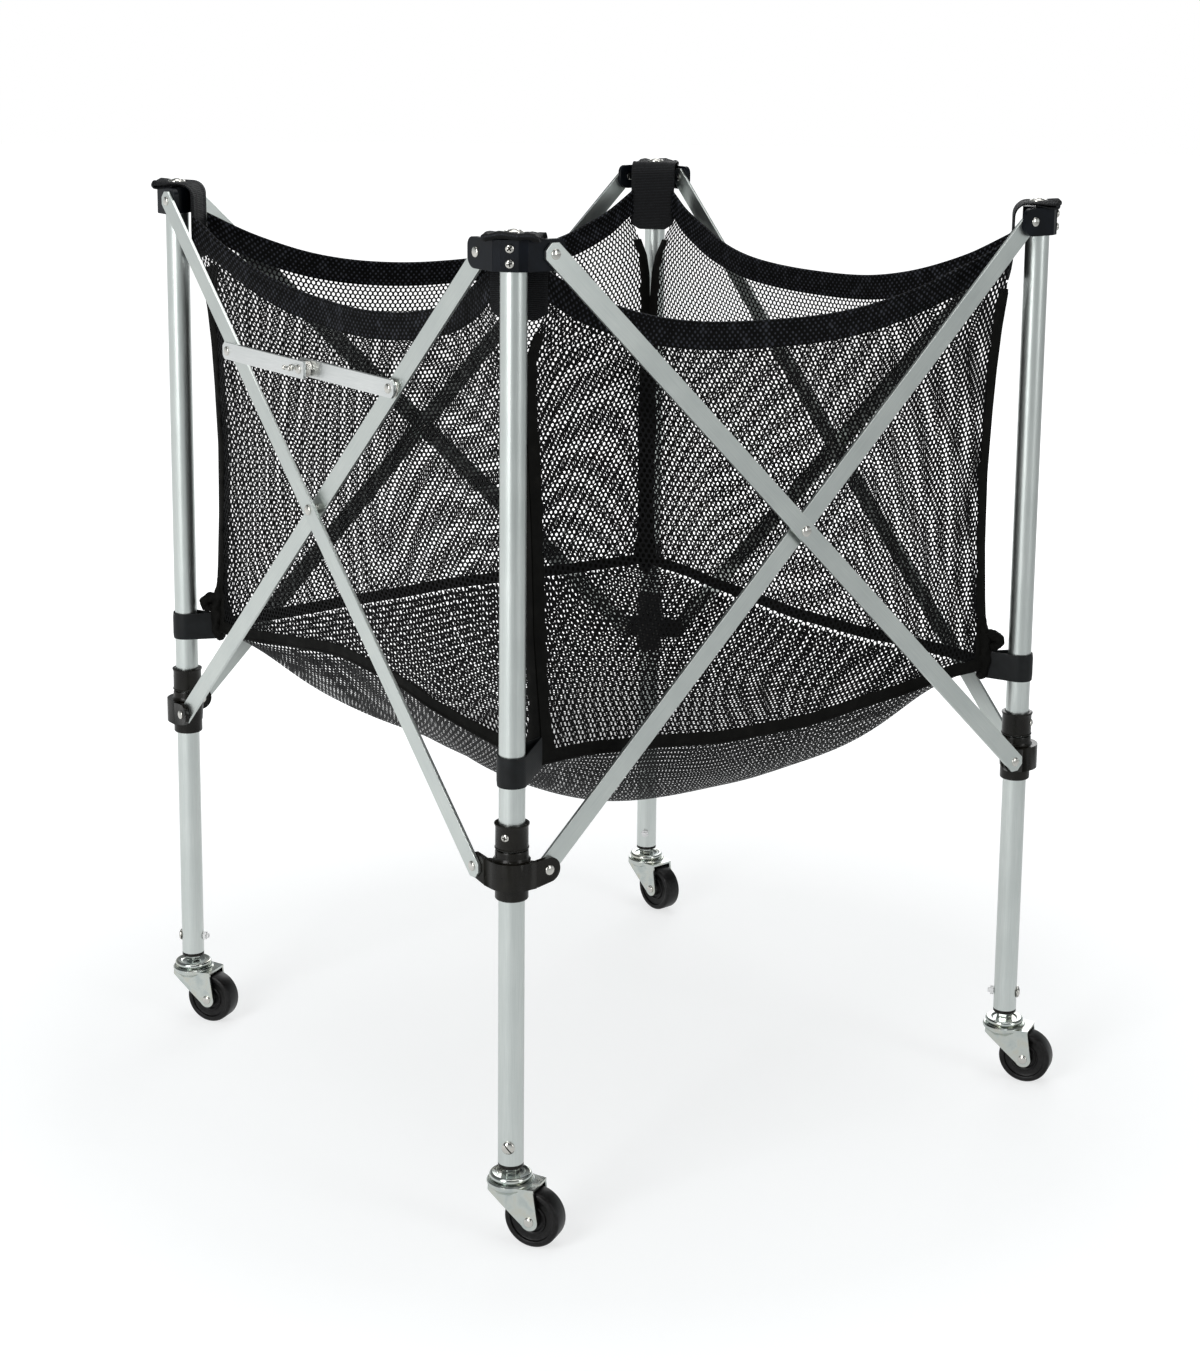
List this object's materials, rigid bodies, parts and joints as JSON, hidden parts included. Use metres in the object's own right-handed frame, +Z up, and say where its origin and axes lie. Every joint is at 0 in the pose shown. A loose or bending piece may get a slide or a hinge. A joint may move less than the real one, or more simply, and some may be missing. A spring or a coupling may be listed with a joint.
{
  "type": "ball cart",
  "caption": "Folding ball cart: posts on swivel casters, scissor braces with sliding collars on each side, and a net bag hung between the posts.",
  "frame": {"origin": "centre of the bounding box, on the ground under the wheels", "axes": "+Z up the posts; +X and +Y along the sides of the square of posts, with the front post at -X -Y and the locking strut on the -X side"},
  "size_m": [0.6516, 0.656, 0.859],
  "materials": {
    "aluminium": "satin anodised",
    "zinc_steel": "bright zinc plate",
    "black_plastic": "moulded, satin",
    "wheel_plastic": "moulded, semi-gloss",
    "net": "knitted net",
    "webbing": "woven webbing"
  },
  "bodies": {
    "front_post": {"post_front": "aluminium", "top_bracket_front": "black_plastic", "stop_ring_front": "black_plastic", "top_strap_front": "webbing", "lower_strap_front": "webbing", "caster_stem_front": "zinc_steel", "net_wall_front_right": "net", "net_wall_front_left": "net", "net_floor_left": "net"},
    "right_post": {"post_right": "aluminium", "top_bracket_right": "black_plastic", "stop_ring_right": "black_plastic", "top_strap_right": "webbing", "lower_strap_right": "webbing", "caster_stem_right": "zinc_steel", "net_wall_back_right": "net", "net_floor_right": "net"},
    "back_post": {"post_back": "aluminium", "top_bracket_back": "black_plastic", "stop_ring_back": "black_plastic", "top_strap_back": "webbing", "lower_strap_back": "webbing", "caster_stem_back": "zinc_steel"},
    "left_post": {"post_left": "aluminium", "top_bracket_left": "black_plastic", "stop_ring_left": "black_plastic", "top_strap_left": "webbing", "lower_strap_left": "webbing", "caster_stem_left": "zinc_steel", "net_wall_back_left": "net"},
    "outer_front_right": {"outer_brace_front_right": "aluminium"},
    "inner_front_right": {"inner_brace_front_right": "aluminium"},
    "outer_back_right": {"outer_brace_back_right": "aluminium"},
    "inner_back_right": {"inner_brace_back_right": "aluminium"},
    "outer_back_left": {"outer_brace_back_left": "aluminium"},
    "inner_back_left": {"inner_brace_back_left": "aluminium"},
    "outer_front_left": {"outer_brace_front_left": "aluminium"},
    "inner_front_left": {"inner_brace_front_left": "aluminium"},
    "collar_front": {"slide_collar_front": "black_plastic"},
    "collar_right": {"slide_collar_right": "black_plastic"},
    "collar_back": {"slide_collar_back": "black_plastic"},
    "collar_left": {"slide_collar_left": "black_plastic"},
    "strut_left": {"strut_link_left": "aluminium", "strut_knee_spring": "zinc_steel"},
    "strut_right": {"strut_link_right": "aluminium"},
    "lock_pin": {"strut_lock_pin": "zinc_steel"},
    "fork_front": {"caster_fork_front": "zinc_steel", "caster_axle_front": "zinc_steel"},
    "wheel_front": {"caster_wheel_front": "wheel_plastic"},
    "fork_right": {"caster_fork_right": "zinc_steel", "caster_axle_right": "zinc_steel"},
    "wheel_right": {"caster_wheel_right": "wheel_plastic"},
    "fork_back": {"caster_fork_back": "zinc_steel", "caster_axle_back": "zinc_steel"},
    "wheel_back": {"caster_wheel_back": "wheel_plastic"},
    "fork_left": {"caster_fork_left": "zinc_steel", "caster_axle_left": "zinc_steel"},
    "wheel_left": {"caster_wheel_left": "wheel_plastic"}
  },
  "joints": [
    {"name": "fold", "type": "hinge", "parent": "front_post", "child": "outer_front_right", "pos_m": [-0.26324, -0.30453, 0.84], "axis": [0, 1, 0], "range_deg": [0, 29], "deforming": ["net_wall_front_right", "net_wall_front_left", "net_wall_back_right", "net_wall_back_left", "net_floor_left", "net_floor_right"]},
    {"name": "inner_front_right_crossing", "type": "hinge", "parent": "outer_front_right", "child": "inner_front_right", "pos_m": [0.00376, -0.29963, 0.585], "axis": [0, 1, 0], "range_deg": [-58.01, 0]},
    {"name": "post_right_top", "type": "hinge", "parent": "inner_front_right", "child": "right_post", "pos_m": [0.27076, -0.29963, 0.84], "axis": [0, 1, 0], "range_deg": [0, 29.01]},
    {"name": "collar_right_pivot", "type": "hinge", "parent": "outer_front_right", "child": "collar_right", "pos_m": [0.27076, -0.29963, 0.33], "axis": [0, 1, 0], "range_deg": [-29.01, 0]},
    {"name": "collar_front_pivot", "type": "hinge", "parent": "inner_front_right", "child": "collar_front", "pos_m": [-0.26324, -0.29963, 0.33], "axis": [0, 1, 0], "range_deg": [0, 29.01]},
    {"name": "inner_front_left_top", "type": "hinge", "parent": "front_post", "child": "inner_front_left", "pos_m": [-0.29984, -0.25973, 0.84], "axis": [-1, 0, 0], "range_deg": [0, 29.01]},
    {"name": "outer_front_left_crossing", "type": "hinge", "parent": "inner_front_left", "child": "outer_front_left", "pos_m": [-0.30314, 0.00727, 0.585], "axis": [-1, 0, 0], "range_deg": [-58.01, 0]},
    {"name": "post_left_top", "type": "hinge", "parent": "outer_front_left", "child": "left_post", "pos_m": [-0.30314, 0.27427, 0.84], "axis": [-1, 0, 0], "range_deg": [0, 29.01]},
    {"name": "collar_left_pivot", "type": "hinge", "parent": "inner_front_left", "child": "collar_left", "pos_m": [-0.30314, 0.27427, 0.33], "axis": [-1, 0, 0], "range_deg": [-29.01, 0]},
    {"name": "outer_back_right_top", "type": "hinge", "parent": "right_post", "child": "outer_back_right", "pos_m": [0.31556, -0.25973, 0.84], "axis": [-1, 0, 0], "range_deg": [0, 29.01]},
    {"name": "inner_back_right_crossing", "type": "hinge", "parent": "outer_back_right", "child": "inner_back_right", "pos_m": [0.31066, 0.00727, 0.585], "axis": [-1, 0, 0], "range_deg": [-58.01, 0]},
    {"name": "post_back_top", "type": "hinge", "parent": "inner_back_right", "child": "back_post", "pos_m": [0.31066, 0.27427, 0.84], "axis": [-1, 0, 0], "range_deg": [0, 29.01]},
    {"name": "collar_back_pivot", "type": "hinge", "parent": "outer_back_right", "child": "collar_back", "pos_m": [0.31066, 0.27427, 0.33], "axis": [-1, 0, 0], "range_deg": [-29.01, 0]},
    {"name": "outer_back_left_top", "type": "hinge", "parent": "back_post", "child": "outer_back_left", "pos_m": [0.27076, 0.31907, 0.84], "axis": [0, -1, 0], "range_deg": [0, 29.01]},
    {"name": "inner_back_left_crossing", "type": "hinge", "parent": "outer_back_left", "child": "inner_back_left", "pos_m": [0.00376, 0.31417, 0.585], "axis": [0, -1, 0], "range_deg": [-58.01, 0]},
    {"name": "strut_left_pivot", "type": "hinge", "parent": "outer_front_left", "child": "strut_left", "pos_m": [-0.31624, 0.14077, 0.7125], "axis": [-1, 0, 0], "range_deg": [0, 94.7]},
    {"name": "strut_knee", "type": "hinge", "parent": "strut_left", "child": "strut_right", "pos_m": [-0.30544, 0.00727, 0.7125], "axis": [-1, 0, 0], "range_deg": [-131.4, 0]},
    {"name": "lock_pin_pull", "type": "slide", "parent": "strut_left", "child": "lock_pin", "axis": [-1, 0, 0], "range_m": [0, 0.004], "stiffness_N_per_m": 200},
    {"name": "swivel_front", "type": "hinge", "parent": "front_post", "child": "fork_front", "pos_m": [-0.28724, -0.28373, 0], "axis": [0, 0, 1], "continuous": true},
    {"name": "swivel_right", "type": "hinge", "parent": "right_post", "child": "fork_right", "pos_m": [0.29476, -0.28373, 0], "axis": [0, 0, 1], "continuous": true},
    {"name": "swivel_back", "type": "hinge", "parent": "back_post", "child": "fork_back", "pos_m": [0.29476, 0.29827, 0], "axis": [0, 0, 1], "continuous": true},
    {"name": "swivel_left", "type": "hinge", "parent": "left_post", "child": "fork_left", "pos_m": [-0.28724, 0.29827, 0], "axis": [0, 0, 1], "continuous": true},
    {"name": "wheel_spin_front", "type": "hinge", "parent": "fork_front", "child": "wheel_front", "pos_m": [-0.2754, -0.30345, 0.025], "axis": [0.8572, 0.515, 0], "continuous": true},
    {"name": "wheel_spin_right", "type": "hinge", "parent": "fork_right", "child": "wheel_right", "pos_m": [0.3066, -0.30345, 0.025], "axis": [0.8572, 0.515, 0], "continuous": true},
    {"name": "wheel_spin_back", "type": "hinge", "parent": "fork_back", "child": "wheel_back", "pos_m": [0.29676, 0.27536, 0.025], "axis": [0.9962, 0.0872, 0], "continuous": true},
    {"name": "wheel_spin_left", "type": "hinge", "parent": "fork_left", "child": "wheel_left", "pos_m": [-0.2754, 0.27855, 0.025], "axis": [0.8572, 0.515, 0], "continuous": true}
  ],
  "couplings": [
    {"joint": "inner_front_right_crossing", "follows": "fold", "ratio": -2},
    {"joint": "post_right_top", "follows": "fold", "ratio": 1},
    {"joint": "collar_right_pivot", "follows": "fold", "ratio": -1},
    {"joint": "collar_front_pivot", "follows": "fold", "ratio": 1},
    {"joint": "inner_front_left_top", "follows": "fold", "ratio": 1},
    {"joint": "outer_front_left_crossing", "follows": "fold", "ratio": -2},
    {"joint": "post_left_top", "follows": "fold", "ratio": 1},
    {"joint": "collar_left_pivot", "follows": "fold", "ratio": -1},
    {"joint": "outer_back_right_top", "follows": "fold", "ratio": 1},
    {"joint": "inner_back_right_crossing", "follows": "fold", "ratio": -2},
    {"joint": "post_back_top", "follows": "fold", "ratio": 1},
    {"joint": "collar_back_pivot", "follows": "fold", "ratio": -1},
    {"joint": "outer_back_left_top", "follows": "fold", "ratio": 1},
    {"joint": "inner_back_left_crossing", "follows": "fold", "ratio": -2},
    {"joint": "strut_left_pivot", "follows": "fold", "ratio": 3.2653},
    {"joint": "strut_knee", "follows": "fold", "ratio": -4.5307}
  ]
}
